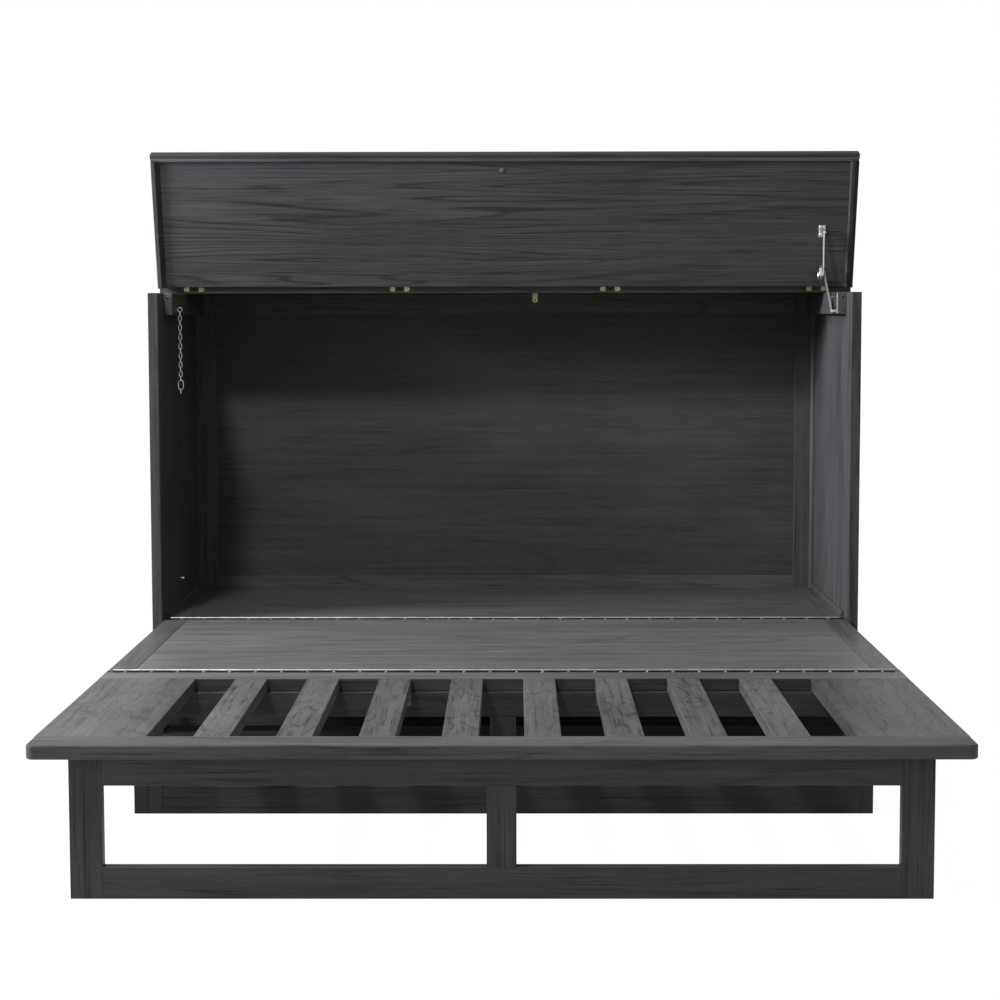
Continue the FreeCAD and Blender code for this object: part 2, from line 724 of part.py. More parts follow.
def at_leg_hinges(shape, axis_y, turned):
    """Copies of a leg hinge piece at each hinge of a leg, turned to face the front if asked."""
    copies = []
    for x in leg_hinge_x:
        copy = shape.copy()
        if turned:
            copy.rotate(V(0, 0, 0), Z_AXIS, 180)
        copy.translate(V(x, axis_y, leg_axis_z))
        copies.append(copy)
    return copies


leg_pin = x_cylinder(leg_pin_radius, -leg_hinge_length / 2, leg_hinge_length / 2, 0, 0)
plates = []
for axis_y, turned in ((front_leg_axis_y, False), (middle_leg_axis_y, True)):
    plates += at_leg_hinges(leg_fixed_leaf(), axis_y, turned)
    plates += at_leg_hinges(leg_pin, axis_y, turned)
save_group("leg_hinge_plates", plates)
save_group("front_leg_hinge_leaves", at_leg_hinges(leg_moving_leaf(), front_leg_axis_y, False))
save_group("middle_leg_hinge_leaves", at_leg_hinges(leg_moving_leaf(), middle_leg_axis_y, True))

# ---- safety chain ----

eye_x = -cleat_inner + eye_stand_off
chain_pivot_z = eye_z - eye_ring_radius


def oval_link(inner_length, inner_width, wire_radius, x, z, turned):
    """A closed oval link of round wire, upright at (x, z), seen face on from the side or turned."""
    bend = inner_width / 2 + wire_radius
    straight = (inner_length - inner_width) / 2
    path = Part.Wire([
        Part.makeLine(V(0, bend, -straight), V(0, bend, straight)),
        Part.Arc(V(0, bend, straight), V(0, 0, straight + bend), V(0, -bend, straight)).toShape(),
        Part.makeLine(V(0, -bend, straight), V(0, -bend, -straight)),
        Part.Arc(V(0, -bend, -straight), V(0, 0, -straight - bend), V(0, bend, -straight)).toShape()])
    section = Part.Wire(Part.makeCircle(wire_radius, V(0, bend, -straight), Z_AXIS))
    link = path.makePipeShell([section], True, False)
    if turned:
        link.rotate(V(0, 0, 0), Z_AXIS, 90)
    link.translate(V(x, eye_y, z))
    return link


ring = Part.makeTorus(eye_ring_radius, eye_wire_radius, V(eye_x, eye_y, eye_z), Y_AXIS)
shank_end = eye_x - eye_ring_radius - eye_wire_radius / 2
shank = x_cylinder(eye_shank_radius, -cleat_inner, shank_end, eye_y, eye_z)
save("chain_eye", ring.fuse(shank).removeSplitter())

link_top = chain_pivot_z + eye_wire_radius + link_play
links = []
for i in range(link_count):
    centre_z = link_top - link_inner_length / 2
    links.append(oval_link(link_inner_length, link_inner_width, link_wire_radius, eye_x, centre_z,
                           i % 2 == 1))
    link_top = centre_z - link_inner_length / 2 + link_play * 2
save_group("safety_chain", links)

snap_top = link_top
snap_centre = snap_top - snap_inner_length / 2
snap = oval_link(snap_inner_length, snap_inner_width, snap_wire_radius, eye_x, snap_centre,
                 link_count % 2 == 1)
end_top = snap_centre - snap_inner_length / 2 + link_play * 2
end_link = oval_link(link_inner_length, link_inner_width, link_wire_radius, eye_x,
                     end_top - link_inner_length / 2, link_count % 2 == 0)
save_group("chain_snap", [snap, end_link])

print("origin_y", round(origin_y, 3), "length", back_y - front_y, "body top", body_top)
print("lid pivot", (lid_hinge_y - origin_y, top_z), "stay pivot", lid_pivot, "elbow", elbow)
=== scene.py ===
import bpy
import bmesh
from math import radians, pi, cos, sin
from mathutils import Matrix, Vector


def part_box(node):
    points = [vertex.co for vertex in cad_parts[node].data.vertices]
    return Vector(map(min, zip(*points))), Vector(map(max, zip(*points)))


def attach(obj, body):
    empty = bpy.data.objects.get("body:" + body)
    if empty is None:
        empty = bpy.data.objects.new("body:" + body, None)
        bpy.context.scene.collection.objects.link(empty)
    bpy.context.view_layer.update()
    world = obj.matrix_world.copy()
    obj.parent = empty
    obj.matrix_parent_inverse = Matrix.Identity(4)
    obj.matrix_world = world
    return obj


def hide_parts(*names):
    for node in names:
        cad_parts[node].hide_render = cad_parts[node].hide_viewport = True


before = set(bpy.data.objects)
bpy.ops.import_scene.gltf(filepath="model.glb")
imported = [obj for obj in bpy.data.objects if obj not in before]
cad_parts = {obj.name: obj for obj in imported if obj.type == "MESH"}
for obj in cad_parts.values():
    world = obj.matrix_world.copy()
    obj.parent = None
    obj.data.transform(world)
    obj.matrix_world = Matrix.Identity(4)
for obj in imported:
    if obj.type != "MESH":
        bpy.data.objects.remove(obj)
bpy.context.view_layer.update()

# ---- Camera ----
# A long lens a little left of the bed's middle line, at the height of the open lid's joint,
# looks slightly down on the foot end.

lens_position = (0.0204, -4.555, 0.9647)
camera_data = bpy.data.cameras.new("room_camera")
camera_data.lens = 79.52
camera_data.sensor_width = 36.0
camera_data.clip_end = 100.0
camera = bpy.data.objects.new("room_camera", camera_data)
camera.location = lens_position
camera.rotation_euler = (radians(90 - 4.952), radians(0.091), radians(0.348))
bpy.context.collection.objects.link(camera)
bpy.context.scene.camera = camera
bpy.context.scene.view_settings.view_transform = "Standard"

# ---- Chest side panels ----
# Two upright veneered boards in a charcoal stain. The veneer's grain runs up and down and
# shows as long dark growth lines with fine open pores along them.


def link_shader(tree, shader_output):
    """Ends a material's tree in its surface output."""
    out = tree.nodes.new("ShaderNodeOutputMaterial")
    tree.links.new(shader_output, out.inputs["Surface"])


def maths(tree, operation, *values):
    """A sum on numbers, each of them plain or the output of another node."""
    node = tree.nodes.new("ShaderNodeMath")
    node.operation = operation
    for socket, value in zip(node.inputs, values):
        if isinstance(value, (int, float)):
            socket.default_value = value
        else:
            tree.links.new(value, socket)
    return node.outputs[0]


def sum_of(tree, first, second, weight):
    """first + second * weight, for numbers that vary over the wood."""
    return maths(tree, "MULTIPLY_ADD", second, weight, first)


def map_range(tree, value, start, end, low=0.0, high=1.0, soft=False):
    """low up to start and high from end on, with a straight or soft slope between."""
    node = tree.nodes.new("ShaderNodeMapRange")
    if soft:
        node.interpolation_type = "SMOOTHSTEP"
    for name, number in (("From Min", start), ("From Max", end), ("To Min", low), ("To Max", high)):
        node.inputs[name].default_value = number
    tree.links.new(value, node.inputs["Value"])
    return node.outputs["Result"]


def position(tree):
    """Object coordinates, and the same taken apart in x, y and z."""
    place = tree.nodes.new("ShaderNodeTexCoord").outputs["Object"]
    apart = tree.nodes.new("ShaderNodeSeparateXYZ")
    tree.links.new(place, apart.inputs["Vector"])
    return place, apart.outputs


def colour_ramp(tree, value, stops):
    """A ramp through (position, colour) stops, in rising order."""
    ramp = tree.nodes.new("ShaderNodeValToRGB")
    (first, shade), *rest, (last, light) = stops
    ramp.color_ramp.elements[0].position = first
    ramp.color_ramp.elements[0].color = (*shade, 1)
    ramp.color_ramp.elements[1].position = last
    ramp.color_ramp.elements[1].color = (*light, 1)
    for at, colour in rest:
        ramp.color_ramp.elements.new(at).color = (*colour, 1)
    tree.links.new(value, ramp.inputs["Fac"])
    return ramp


def cut_from_log(tree, grain, across, along, shift):
    """Object coordinates squeezed along the grain (0, 1 or 2), and moved to a fresh part of the log."""
    place = tree.nodes.new("ShaderNodeTexCoord")
    log = tree.nodes.new("ShaderNodeMapping")
    log.vector_type = "POINT"
    scale = [across, across, across]
    scale[grain] = along
    log.inputs["Scale"].default_value = scale
    log.inputs["Location"].default_value = shift
    tree.links.new(place.outputs["Object"], log.inputs["Vector"])
    return log.outputs["Vector"]


def grain_noise(tree, vector, detail=2.0, roughness=0.5, distortion=0.0, scale=1.0):
    """One layer of the wood's figure."""
    layer = tree.nodes.new("ShaderNodeTexNoise")
    layer.inputs["Scale"].default_value = scale
    layer.inputs["Detail"].default_value = detail
    layer.inputs["Roughness"].default_value = roughness
    layer.inputs["Distortion"].default_value = distortion
    tree.links.new(vector, layer.inputs["Vector"])
    return layer.outputs["Fac"]


boards_cut = [0]
lacquered, bare_wood = 0.42, 0.80
# How pale a growth line is, from its start to its end, and on the average.
late_wood = ((0.0, 0.62), (0.30, 0.72), (0.74, 0.55), (0.90, 0.05), (0.96, 0.30), (1.0, 0.62))
line_mean = 0.58


def stained_wood(label, grain, tone, figure=0.5, rings=9.0, fibre=0.35, cloud=0.4, cathedral=8.0,
                 stretch=0.9, contrast=1.5, zone=None):
    """Charcoal stain over open-pored veneer. tone is the mean colour, figure how strong the
    growth lines are, rings how many there are, and cathedral how wide their arches lie.
    The zone argument is (direction, start, end, factor before, factor after): painted light and shade,
    the colour times one factor before a plane and the other after it. Its darker side is also bare of
    lacquer."""
    boards_cut[0] += 1
    n = boards_cut[0]
    shift = (1.7 * n, 2.3 * n + 0.4, 3.1 * n + 0.9)
    wood = bpy.data.materials.new(label)
    wood.use_nodes = True
    tree = wood.node_tree
    tree.nodes.clear()

    arches = grain_noise(tree, cut_from_log(tree, grain, cathedral, stretch, shift), 2.5, 0.45, 0.35)
    season = maths(tree, "FRACT", maths(tree, "MULTIPLY", arches, float(rings)))
    late = colour_ramp(tree, season, [(at, [tint] * 3) for at, tint in late_wood])
    late.color_ramp.interpolation = "EASE"

    patches = grain_noise(tree, cut_from_log(tree, grain, 9.0, 3.0, shift), 2.0, 0.5)
    season_line = tree.nodes.new("ShaderNodeMix")
    season_line.inputs["A"].default_value = line_mean
    tree.links.new(map_range(tree, patches, 0.36, 0.62, low=0.15), season_line.inputs["Factor"])
    tree.links.new(late.outputs["Color"], season_line.inputs["B"])

    fibres = grain_noise(tree, cut_from_log(tree, grain, 420, 7.0, shift), 3.0, 0.6)
    tick_field = grain_noise(tree, cut_from_log(tree, grain, 230, 5.0, shift), 2.5, 0.6)
    ticks = map_range(tree, tick_field, 0.57, 0.72)
    streaks = grain_noise(tree, cut_from_log(tree, grain, 70, 1.6, shift), 3.0, 0.55)
    clouds = grain_noise(tree, cut_from_log(tree, grain, 6.0, 2.6, shift), 3.0, 0.55)
    pore_field = grain_noise(tree, cut_from_log(tree, grain, 900, 34.0, shift), 1.0, 0.5)
    pores = map_range(tree, pore_field, 0.60, 0.70)

    # The layers' means are taken off first, so that their sum lies round the ramp's middle.
    streak = 0.5
    dark_marks = 0.06
    level = 0.5 + dark_marks - line_mean * figure - 0.5 * (fibre + cloud + streak)
    value = sum_of(tree, level, season_line.outputs["Result"], figure)
    value = sum_of(tree, value, ticks, -0.34)
    value = sum_of(tree, value, fibres, fibre)
    value = sum_of(tree, value, streaks, streak)
    value = sum_of(tree, value, clouds, cloud)
    value = sum_of(tree, value, pores, -0.12)

    stops = ((-0.40 / contrast, 0.42), (0.0, 1.0), (0.40 / contrast, 1.55))
    stain = colour_ramp(tree, value, [(0.5 + step, [c * shade for c in tone]) for step, shade in stops])
    colour = stain.outputs["Color"]
    roughness = lacquered
    # Painted light and shade: the colour is multiplied by one factor before a plane and by another after
    # it; the darker side also gets the unlacquered roughness.
    if zone:
        direction, start, end, before, after = zone
        along = tree.nodes.new("ShaderNodeVectorMath")
        along.operation = "DOT_PRODUCT"
        tree.links.new(position(tree)[0], along.inputs[0])
        along.inputs[1].default_value = direction
        scaled = tree.nodes.new("ShaderNodeVectorMath")
        scaled.operation = "SCALE"
        tree.links.new(colour, scaled.inputs[0])
        factor = map_range(tree, along.outputs["Value"], start, end, before, after)
        tree.links.new(factor, scaled.inputs["Scale"])
        colour = scaled.outputs["Vector"]
        sides = (lacquered, bare_wood) if before > after else (bare_wood, lacquered)
        roughness = map_range(tree, along.outputs["Value"], start, end, *sides)

    lacquer = tree.nodes.new("ShaderNodeBsdfPrincipled")
    lacquer.inputs["IOR"].default_value = 1.46
    lacquer.inputs["Specular IOR Level"].default_value = 0.2
    tree.links.new(colour, lacquer.inputs["Base Color"])
    gloss = sum_of(tree, roughness, fibres, 0.12)
    gloss = sum_of(tree, gloss, pores, 0.15)
    tree.links.new(gloss, lacquer.inputs["Roughness"])
    relief = sum_of(tree, 0.0, fibres, 0.5)
    relief = sum_of(tree, relief, season_line.outputs["Result"], 0.35)
    relief = sum_of(tree, relief, ticks, -0.5)
    relief = sum_of(tree, relief, pores, -0.8)
    bump = tree.nodes.new("ShaderNodeBump")
    bump.inputs["Strength"].default_value = 0.35
    bump.inputs["Distance"].default_value = 0.0004
    tree.links.new(relief, bump.inputs["Height"])
    tree.links.new(bump.outputs["Normal"], lacquer.inputs["Normal"])
    link_shader(tree, lacquer.outputs["BSDF"])
    return wood


def finish_node(node, material):
    """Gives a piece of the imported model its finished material."""
    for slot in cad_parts[node].material_slots:
        slot.material = material


def finish_wood(node, label, grain, tone, **figure):
    """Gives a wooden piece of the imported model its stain."""
    finish_node(node, stained_wood(label + "_stain", grain, tone, **figure))


ACROSS, DEEP, UP = 0, 1, 2
chest_front = 0.415


def front_edge(factor):
    """Painted shade on a side panel's front edge: its colour times factor, and that edge left
    unlacquered.
    """
    return (0, 1, 0), chest_front + 0.0005, chest_front + 0.0015, factor, 1.0


# Both side panels' front edges are darkened: painted shade.
finish_wood("side_panel_left", "side_left", UP, (0.0567, 0.0567, 0.0554), figure=0.40, cathedral=9.0,
            stretch=0.8, zone=front_edge(0.60))
finish_wood("side_panel_right", "side_right", UP, (0.0610, 0.0597, 0.0606), figure=0.34, cathedral=10.0,
            stretch=0.8, zone=front_edge(0.75))

# ---- Chest back ----
# A thin veneered field in a frame of two stiles and two rails, stained with the rest. Its
# figure is quiet, with soft level clouds.

finish_wood("back_field", "back_field", ACROSS, (0.0410, 0.0412, 0.0424), figure=0.15, contrast=1.1,
            cathedral=6.0, stretch=1.2, cloud=0.6)
finish_wood("back_stile_left", "back_stile_left", UP, (0.060, 0.059, 0.058), figure=0.25)
finish_wood("back_stile_right", "back_stile_right", UP, (0.0480, 0.0472, 0.0465), figure=0.25)
finish_wood("back_top_rail", "back_top_rail", ACROSS, (0.058, 0.057, 0.056), figure=0.3)
finish_wood("back_bottom_rail", "back_bottom_rail", ACROSS, (0.060, 0.059, 0.058), figure=0.3)

# ---- Cleats and beads ----
# Solid strips: a cleat along the top of each side, and thin beads that cover the corners'
# joints.

finish_wood("top_cleat_left", "cleat_left", DEEP, (0.060, 0.058, 0.057), figure=0.3)
finish_wood("top_cleat_right", "cleat_right", DEEP, (0.060, 0.058, 0.057), figure=0.3)
finish_wood("inner_beads", "bead", UP, (0.055, 0.054, 0.053), figure=0.25)

# ---- Deck and aprons ----
# The chest's floor, which carries the head end of the mattress, is a veneered board with a
# narrow board along each side. Two plain aprons under it carry it between the side panels.

finish_wood("deck_field", "deck", ACROSS, (0.0607, 0.0600, 0.0614), figure=0.22, cathedral=5.0,
            stretch=0.8)
finish_wood("deck_stiles", "deck_stile", DEEP, (0.0593, 0.0587, 0.0593), figure=0.3)
# The front apron is darker than the back one: painted shade from the deck and platform above it.
finish_wood("base_front_apron", "front_apron", ACROSS, (0.0360, 0.0348, 0.0336), figure=0.3)
finish_wood("base_back_apron", "back_apron", ACROSS, (0.050, 0.048, 0.046), figure=0.3)

# ---- Fixed rear top and lid ----
# One long veneered top, cut in two across its depth. Solid lips hang down round its edge.
# The lid's underside shows the strongest figure of the whole piece.

lid_length, lid_depth = (0, 0.2756, -0.9613), (0, 0.9613, 0.2756)
finish_wood("rear_top_board", "rear_top", ACROSS, (0.0545, 0.0528, 0.0520), figure=0.5, rings=12.0,
            cathedral=7.0, stretch=0.7)
finish_wood("rear_top_edges", "rear_edge", DEEP, (0.050, 0.049, 0.047), figure=0.3)
finish_wood("lid_board", "lid", ACROSS, (0.0364, 0.0364, 0.0367), figure=0.6, rings=30.0, cathedral=7.0,
            stretch=0.24, fibre=0.6, cloud=0.4)
# Painted light and shade on the lips: a painted highlight on the front lip's inner part, painted shade on
# the left lip's inner chamfer, and painted shade on the right lip except its inner edge.
finish_wood("lid_front_edge", "lid_front", ACROSS, (0.0241, 0.0237, 0.0261), figure=0.3,
            zone=(lid_length, -1.0953, -1.0945, 1.0, 11.0))
finish_wood("lid_left_edge", "lid_left", UP, (0.0381, 0.0390, 0.0398), figure=0.3,
            zone=((1, 0, 0), -0.8113, -0.8107, 1.0, 0.5))
finish_wood("lid_right_edge", "lid_right", UP, (0.0400, 0.0390, 0.0390), figure=0.3,
            zone=(lid_depth, 0.9417, 0.9426, 0.24, 1.0))

# ---- Front panel ----
# A plain veneered board with a solid board along each side, and a fine V groove where they meet. Its
# grain runs across the bed, and its pale tone is partly painted light for its lit top.

deck_top = 0.260


def painted_below_top(factor):
    """Painted light and shade on a platform board below its upper face: the colour there is times factor.
    """
    return (0, 0, 1), deck_top - 0.0025, deck_top - 0.0010, factor, 1.0


# Below each platform board's top, a factor under 1 paints shade on its sides and ends; the front rail's
# 1.25 paints light on its front face.
finish_wood("front_panel_field", "front_field", ACROSS, (0.0790, 0.0790, 0.0777), figure=0.25, rings=10.0,
            cathedral=5.0, stretch=0.7, cloud=0.45, zone=painted_below_top(0.5))
finish_wood("front_panel_stile_left", "front_stile_left", DEEP, (0.0406, 0.0402, 0.0399), figure=0.35,
            zone=painted_below_top(0.6))
finish_wood("front_panel_stile_right", "front_stile_right", DEEP, (0.0581, 0.0569, 0.0553), figure=0.35,
            zone=painted_below_top(0.6))

# ---- Slatted panel ----
# Solid boards: a rail along the back, a rail with rounded corners along the front, a wide
# board at each side, and narrow slats between them with their swirly grain running lengthwise.

finish_wood("slat_panel_rear_rail", "rear_rail", ACROSS, (0.0731, 0.0724, 0.0710), figure=0.3,
            zone=painted_below_top(0.5))
finish_wood("slat_panel_front_rail", "front_rail", ACROSS, (0.0568, 0.0555, 0.0536), figure=0.35,
            rings=10.0, cathedral=12.0, zone=painted_below_top(1.25))
finish_wood("slat_panel_side_left", "side_board_left", DEEP, (0.0519, 0.0509, 0.0487), figure=0.35,
            rings=9.0, cathedral=11.0, stretch=3.0, cloud=0.6, zone=painted_below_top(0.6))
finish_wood("slat_panel_side_right", "side_board_right", DEEP, (0.0411, 0.0390, 0.0357), figure=0.35,
            rings=9.0, cathedral=11.0, stretch=3.0, cloud=0.6, zone=painted_below_top(0.95))
finish_wood("slats", "slat", DEEP, (0.0672, 0.0645, 0.0599), figure=0.4, rings=8.0, cathedral=14.0,
            stretch=4.0, cloud=0.7, zone=painted_below_top(0.7))

# ---- Leg frames ----
# Two flat frames of solid stock, butt jointed. Rails have level grain, stiles upright grain.
# They fold flat under the slatted panel.

leg_figure = {"figure": 0.35, "rings": 8.0, "cathedral": 14.0, "stretch": 0.8}
# The middle frame's darker tone is painted shade from the slatted panel above it.
for leg, tone in (("front_leg", (0.0575, 0.0530, 0.0475)), ("middle_leg", (0.031, 0.0295, 0.028))):
    for rail in ("_top_rail", "_bottom_rail"):
        finish_wood(leg + rail, leg + rail, ACROSS, tone, **leg_figure)
    for stile in ("_stile_left", "_stile_right", "_middle_stile"):
        finish_wood(leg + stile, leg + stile, UP, tone, **leg_figure)

# ---- Strip hinges ----
# Zinc-plated steel, rolled in knuckles of two inches over a long pin. The leaves lie in
# shallow steps, held by a small countersunk screw at every knuckle.


def plated_metal(label, colour, rough, scratch=0.10, tarnish=0.35):
    """Plated or bare metal, dulled in clouds and finely scratched."""
    metal = bpy.data.materials.new(label)
    metal.use_nodes = True
    tree = metal.node_tree
    tree.nodes.clear()
    clouds = grain_noise(tree, cut_from_log(tree, 0, 90, 40, (0.3, 0.1, 0.7)), 3.0, 0.6)
    lines = grain_noise(tree, cut_from_log(tree, 0, 2200, 60, (0.2, 0.9, 0.4)), 2.0, 0.5)
    stains = colour_ramp(tree, clouds, ((0.30, [c * (1 - tarnish) for c in colour]), (0.62, colour)))
    plate = tree.nodes.new("ShaderNodeBsdfPrincipled")
    plate.inputs["Metallic"].default_value = 1.0
    tree.links.new(stains.outputs["Color"], plate.inputs["Base Color"])
    gloss = sum_of(tree, rough - scratch, lines, scratch)
    gloss = sum_of(tree, gloss, clouds, scratch)
    tree.links.new(gloss, plate.inputs["Roughness"])
    bump = tree.nodes.new("ShaderNodeBump")
    bump.inputs["Strength"].default_value = 0.2
    bump.inputs["Distance"].default_value = 0.0001
    tree.links.new(lines, bump.inputs["Height"])
    tree.links.new(bump.outputs["Normal"], plate.inputs["Normal"])
    link_shader(tree, plate.outputs["BSDF"])
    return metal


zinc = plated_metal("zinc_plate", (0.42, 0.42, 0.43), 0.36)


def darken_metal(metal, dark, bright_share):
    """Mixes a dark colour into a metal's colour, except where bright_share is 1."""
    tree = metal.node_tree
    plate = next(n for n in tree.nodes if n.type == "BSDF_PRINCIPLED")
    blend = tree.nodes.new("ShaderNodeMix")
    blend.data_type = "RGBA"
    blend.inputs[6].default_value = (*dark, 1)
    tree.links.new(bright_share, blend.inputs["Factor"])
    tree.links.new(plate.inputs["Base Color"].links[0].from_socket, blend.inputs[7])
    tree.links.new(blend.outputs[2], plate.inputs["Base Color"])


# The leaves are darkened below the wood's face, painted shade for the dark joint beside the knuckles; the
# rolled knuckles above their face are bright.
hinge_strip = plated_metal("strip_hinge_plate", (0.27, 0.27, 0.28), 0.40)
tree = hinge_strip.node_tree
raised = map_range(tree, position(tree)[1]["Z"], deck_top + 0.00005, deck_top + 0.0004)
darken_metal(hinge_strip, (0.035, 0.034, 0.033), raised)
for node in ("deck_hinge_pin", "fold_hinge_pin"):
    finish_node(node, zinc)
for node in ("deck_hinge_leaf", "front_panel_hinge_leaf", "fold_hinge_leaf", "slat_panel_hinge_leaf"):
    finish_node(node, hinge_strip)


def new_piece(name, mesh_builder, material, body, smooth=True):
    """Links a finished bmesh as a piece that rides on a body."""
    mesh = bpy.data.meshes.new(name)
    mesh_builder.to_mesh(mesh)
    mesh_builder.free()
    mesh.materials.append(material)
    if smooth:
        mesh.shade_smooth()
        mesh.set_sharp_from_angle(angle=radians(35))
    piece = bpy.data.objects.new(name, mesh)
    bpy.context.collection.objects.link(piece)
    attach(piece, body)
    return piece


def screw_head(shell, centre, normal, radius, height, recess):
    """Adds a domed head with a recess in its middle, seated at centre and facing along normal."""
    turn = Vector((0, 0, 1)).rotation_difference(Vector(normal)).to_matrix().to_4x4()
    place = Matrix.Translation(centre) @ turn
    made = bmesh.ops.create_circle(shell, cap_ends=True, segments=16, radius=radius, matrix=place)
    face = made["verts"][0].link_faces[0]
    up = place.to_3x3() @ Vector((0, 0, 1))
    if face.normal.dot(up) < 0:
        bmesh.ops.reverse_faces(shell, faces=[face])
    raised = bmesh.ops.extrude_discrete_faces(shell, faces=[face])["faces"]
    bmesh.ops.translate(shell, verts=raised[0].verts, vec=up * height * 0.55)
    for inset, rise in ((0.28, height * 0.33), (0.26, height * 0.12), (0.14, -recess)):
        bmesh.ops.inset_region(shell, faces=raised, thickness=radius * inset, depth=rise)


screw_pitch = 0.0508
screws_in_leaf = 30
screw_offset = 0.0092
leaf_half = 0.762
countersunk = (0.0033, 0.0017, 0.0007)
hinge_lines = (("deck_hinge", 0.442, "cabinet", "front_panel"),
               ("fold_hinge", -0.292, "front_panel", "slat_panel"))
for hinge, line, behind, ahead in hinge_lines:
    for end, side, body in (("rear", 1, behind), ("front", -1, ahead)):
        heads = bmesh.new()
        for k in range(screws_in_leaf):
            place = (-leaf_half + screw_pitch * (k + 0.5), line + side * screw_offset, deck_top)
            screw_head(heads, place, (0, 0, 1), *countersunk)
        new_piece("%s_screws_%s" % (hinge, end), heads, zinc, body)

# ---- Leg hinges ----
# Short steel butt hinges, four to each leg frame, face fixed under the panel and on the
# leg with three screws in each leaf.

blackened = plated_metal("blackened_steel", (0.10, 0.10, 0.10), 0.45, tarnish=0.5)
for node in ("leg_hinge_plates", "front_leg_hinge_leaves", "middle_leg_hinge_leaves"):
    finish_node(node, blackened)
leg_hinge_places = (-0.68255, -0.20625, 0.20625, 0.68255)
screw_steps = (-0.02, 0.0, 0.02)
leg_top = 0.236
plate_reach, plate_face = 0.014, 0.0012
leaf_face, leaf_drop = 0.0014, 0.0166
small_head = (0.003, 0.0008, 0.0005)
for leg, axis_y, side in (("front_leg", -0.9774, 1), ("middle_leg", -0.3906, -1)):
    plate_heads = bmesh.new()
    leaf_heads = bmesh.new()
    for x in leg_hinge_places:
        for step in screw_steps:
            in_plate = (x + step, axis_y + side * plate_reach, leg_top - plate_face)
            in_leaf = (x + step, axis_y - side * leaf_face, leg_top - leaf_drop)
            screw_head(plate_heads, in_plate, (0, 0, -1), *small_head)
            screw_head(leaf_heads, in_leaf, (0, side, 0), *small_head)
    new_piece(leg + "_plate_screws", plate_heads, blackened, "slat_panel")
    new_piece(leg + "_leaf_screws", leaf_heads, blackened, leg)

# ---- Lid hinges and catch ----
# Concealed hinges of cast brass with round-ended plates let into both edges of the top, each held by two
# screws. The cups are darker in their middles. A small brass catch plate hangs beside the middle of the
# top.

brass = plated_metal("aged_brass", (0.34, 0.31, 0.19), 0.40, tarnish=0.6)
finish_node("lid_catch", plated_metal("catch_brass", (0.15, 0.135, 0.085), 0.45, tarnish=0.6))
finish_node("lid_hinge_arms", plated_metal("arm_brass", (0.16, 0.13, 0.07), 0.45, tarnish=0.6))

hinge_spots = (-0.739, -0.250, 0.250, 0.739)
cup_middle, cup_rim = 0.0105, 0.0125
dark_middled_brass = plated_metal("cup_brass", (0.34, 0.31, 0.19), 0.40, tarnish=0.6)
tree = dark_middled_brass.node_tree
folded = maths(tree, "ABSOLUTE", position(tree)[1]["X"])
distances = [maths(tree, "ABSOLUTE", maths(tree, "SUBTRACT", folded, spot)) for spot in hinge_spots[2:]]
nearest = maths(tree, "MINIMUM", *distances)
darken_metal(dark_middled_brass, (0.035, 0.030, 0.018), map_range(tree, nearest, cup_middle, cup_rim))
finish_node("lid_hinge_cups", dark_middled_brass)

joint_line, top_level = 0.715, 1.021
lean_y, lean_z = 0.27564, -0.96126
screw_drop, screw_seat = 0.010, 0.0005
flat_head = (0.0030, 0.0003, 0.0006)
fixed_y, fixed_z = joint_line + screw_seat, top_level - screw_drop
lid_y = joint_line + screw_drop * lean_z - screw_seat * lean_y
lid_z = top_level - screw_drop * lean_y - screw_seat * lean_z
fixed_heads = bmesh.new()
lid_heads = bmesh.new()
for spot in hinge_spots:
    for step in (-0.0185, 0.0185):
        screw_head(fixed_heads, (spot + step, fixed_y, fixed_z), (0, -1, 0), *flat_head)
        screw_head(lid_heads, (spot + step, lid_y, lid_z), (0, lean_y, lean_z), *flat_head)
new_piece("lid_hinge_fixed_screws", fixed_heads, brass, "cabinet")
new_piece("lid_hinge_lid_screws", lid_heads, brass, "lid")

# ---- Lid stay ----
# Two flat steel bars that fold at a brake disc, riveted to a plate on the right cleat and to
# a bracket under the lid.

bright = plated_metal("bright_steel", (0.56, 0.56, 0.57), 0.27, tarnish=0.30)
for node in ("stay_lid_bracket", "stay_cabinet_bracket"):
    finish_node(node, bright)
satin = plated_metal("satin_steel", (0.74, 0.74, 0.75), 0.44, tarnish=0.20)
for node in ("stay_upper_arm", "stay_lower_arm"):
    finish_node(node, satin)


def turned(shell, centre, axes, steps, profile, grip=None):
    """Turns a profile of (rise, radius) about the first axis, and closes both ends."""
    rise, right, up = (Vector(axis) for axis in axes)
    rings = []
    for height, radius in profile:
        ring = []
        for k in range(steps if radius else 1):
            reach = radius - (grip(radius, k) if grip else 0.0)
            angle = 2 * pi * k / steps
            spot = Vector(centre) + rise * height + right * reach * cos(angle) + up * reach * sin(angle)
            ring.append(shell.verts.new(spot))
        rings.append(ring)
    for near, far in zip(rings, rings[1:]):
        for k in range(steps):
            after = (k + 1) % steps
            if len(near) == 1:
                shell.faces.new((near[0], far[after], far[k]))
            elif len(far) == 1:
                shell.faces.new((near[k], near[after], far[0]))
            else:
                shell.faces.new((near[k], near[after], far[after], far[k]))
    if len(rings[0]) > 1:
        shell.faces.new(rings[0][::-1])
    if len(rings[-1]) > 1:
        shell.faces.new(rings[-1])


